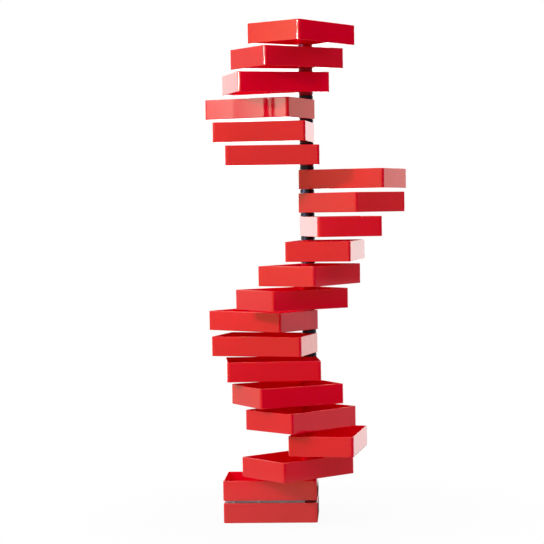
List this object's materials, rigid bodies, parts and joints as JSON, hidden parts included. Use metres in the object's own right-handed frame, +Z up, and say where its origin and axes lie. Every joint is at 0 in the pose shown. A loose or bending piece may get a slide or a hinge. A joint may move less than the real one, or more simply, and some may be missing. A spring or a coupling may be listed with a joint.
{
  "type": "revolving shelving unit",
  "caption": "Free-standing tower of open oblong trays that swing one by one about a corner column, above a weighted base of the same outline.",
  "frame": {"origin": "where the column's axis meets the floor, on the underside of the pad below the column", "axes": "+Z up along the column, X along the base's long sides and Y along its short sides, with the base reaching from the column towards -X and -Y"},
  "size_m": [0.7617, 0.5925, 1.85],
  "materials": {
    "red_plastic": "glossy",
    "black_plastic": "satin",
    "plated_steel": "zinc plated",
    "dark_steel": "blackened",
    "ballast_steel": "grey paint",
    "bush_nylon": "natural nylon",
    "washer_nylon": "black nylon",
    "pad_rubber": "matt"
  },
  "bodies": {
    "base_and_column": {"base_shell": "red_plastic", "ballast_plate": "ballast_steel", "base_screws": "plated_steel", "floor_pads": "pad_rubber", "column_flange": "plated_steel", "flange_screws": "plated_steel", "column_tube": "plated_steel", "base_sleeve": "black_plastic", "base_lid": "plated_steel", "lid_posts": "plated_steel", "spacer_collars": "black_plastic", "collar_grub_screws": "dark_steel", "thrust_washers": "washer_nylon", "column_cap": "black_plastic"},
    "swing_tray_01": {"tray_01": "red_plastic", "bushes_01": "bush_nylon"},
    "swing_tray_02": {"tray_02": "red_plastic", "bushes_02": "bush_nylon"},
    "swing_tray_03": {"tray_03": "red_plastic", "bushes_03": "bush_nylon"},
    "swing_tray_04": {"tray_04": "red_plastic", "bushes_04": "bush_nylon"},
    "swing_tray_05": {"tray_05": "red_plastic", "bushes_05": "bush_nylon"},
    "swing_tray_06": {"tray_06": "red_plastic", "bushes_06": "bush_nylon"},
    "swing_tray_07": {"tray_07": "red_plastic", "bushes_07": "bush_nylon"},
    "swing_tray_08": {"tray_08": "red_plastic", "bushes_08": "bush_nylon"},
    "swing_tray_09": {"tray_09": "red_plastic", "bushes_09": "bush_nylon"},
    "swing_tray_10": {"tray_10": "red_plastic", "bushes_10": "bush_nylon"},
    "swing_tray_11": {"tray_11": "red_plastic", "bushes_11": "bush_nylon"},
    "swing_tray_12": {"tray_12": "red_plastic", "bushes_12": "bush_nylon"},
    "swing_tray_13": {"tray_13": "red_plastic", "bushes_13": "bush_nylon"},
    "swing_tray_14": {"tray_14": "red_plastic", "bushes_14": "bush_nylon"},
    "swing_tray_15": {"tray_15": "red_plastic", "bushes_15": "bush_nylon"},
    "swing_tray_16": {"tray_16": "red_plastic", "bushes_16": "bush_nylon"},
    "swing_tray_17": {"tray_17": "red_plastic", "bushes_17": "bush_nylon"},
    "swing_tray_18": {"tray_18": "red_plastic", "bushes_18": "bush_nylon"},
    "swing_tray_19": {"tray_19": "red_plastic", "bushes_19": "bush_nylon"},
    "swing_tray_20": {"tray_20": "red_plastic", "bushes_20": "bush_nylon"}
  },
  "joints": [
    {"name": "tray_01_swing", "type": "hinge", "parent": "base_and_column", "child": "swing_tray_01", "pos_m": [0, 0, 1.813], "axis": [0, 0, 1], "continuous": true},
    {"name": "tray_02_swing", "type": "hinge", "parent": "base_and_column", "child": "swing_tray_02", "pos_m": [0, 0, 1.724], "axis": [0, 0, 1], "continuous": true},
    {"name": "tray_03_swing", "type": "hinge", "parent": "base_and_column", "child": "swing_tray_03", "pos_m": [0, 0, 1.635], "axis": [0, 0, 1], "continuous": true},
    {"name": "tray_04_swing", "type": "hinge", "parent": "base_and_column", "child": "swing_tray_04", "pos_m": [0, 0, 1.546], "axis": [0, 0, 1], "continuous": true},
    {"name": "tray_05_swing", "type": "hinge", "parent": "base_and_column", "child": "swing_tray_05", "pos_m": [0, 0, 1.457], "axis": [0, 0, 1], "continuous": true},
    {"name": "tray_06_swing", "type": "hinge", "parent": "base_and_column", "child": "swing_tray_06", "pos_m": [0, 0, 1.368], "axis": [0, 0, 1], "continuous": true},
    {"name": "tray_07_swing", "type": "hinge", "parent": "base_and_column", "child": "swing_tray_07", "pos_m": [0, 0, 1.279], "axis": [0, 0, 1], "continuous": true},
    {"name": "tray_08_swing", "type": "hinge", "parent": "base_and_column", "child": "swing_tray_08", "pos_m": [0, 0, 1.19], "axis": [0, 0, 1], "continuous": true},
    {"name": "tray_09_swing", "type": "hinge", "parent": "base_and_column", "child": "swing_tray_09", "pos_m": [0, 0, 1.101], "axis": [0, 0, 1], "continuous": true},
    {"name": "tray_10_swing", "type": "hinge", "parent": "base_and_column", "child": "swing_tray_10", "pos_m": [0, 0, 1.012], "axis": [0, 0, 1], "continuous": true},
    {"name": "tray_11_swing", "type": "hinge", "parent": "base_and_column", "child": "swing_tray_11", "pos_m": [0, 0, 0.923], "axis": [0, 0, 1], "continuous": true},
    {"name": "tray_12_swing", "type": "hinge", "parent": "base_and_column", "child": "swing_tray_12", "pos_m": [0, 0, 0.834], "axis": [0, 0, 1], "continuous": true},
    {"name": "tray_13_swing", "type": "hinge", "parent": "base_and_column", "child": "swing_tray_13", "pos_m": [0, 0, 0.745], "axis": [0, 0, 1], "continuous": true},
    {"name": "tray_14_swing", "type": "hinge", "parent": "base_and_column", "child": "swing_tray_14", "pos_m": [0, 0, 0.656], "axis": [0, 0, 1], "continuous": true},
    {"name": "tray_15_swing", "type": "hinge", "parent": "base_and_column", "child": "swing_tray_15", "pos_m": [0, 0, 0.567], "axis": [0, 0, 1], "continuous": true},
    {"name": "tray_16_swing", "type": "hinge", "parent": "base_and_column", "child": "swing_tray_16", "pos_m": [0, 0, 0.478], "axis": [0, 0, 1], "continuous": true},
    {"name": "tray_17_swing", "type": "hinge", "parent": "base_and_column", "child": "swing_tray_17", "pos_m": [0, 0, 0.389], "axis": [0, 0, 1], "continuous": true},
    {"name": "tray_18_swing", "type": "hinge", "parent": "base_and_column", "child": "swing_tray_18", "pos_m": [0, 0, 0.3], "axis": [0, 0, 1], "continuous": true},
    {"name": "tray_19_swing", "type": "hinge", "parent": "base_and_column", "child": "swing_tray_19", "pos_m": [0, 0, 0.211], "axis": [0, 0, 1], "continuous": true},
    {"name": "tray_20_swing", "type": "hinge", "parent": "base_and_column", "child": "swing_tray_20", "pos_m": [0, 0, 0.122], "axis": [0, 0, 1], "continuous": true}
  ]
}
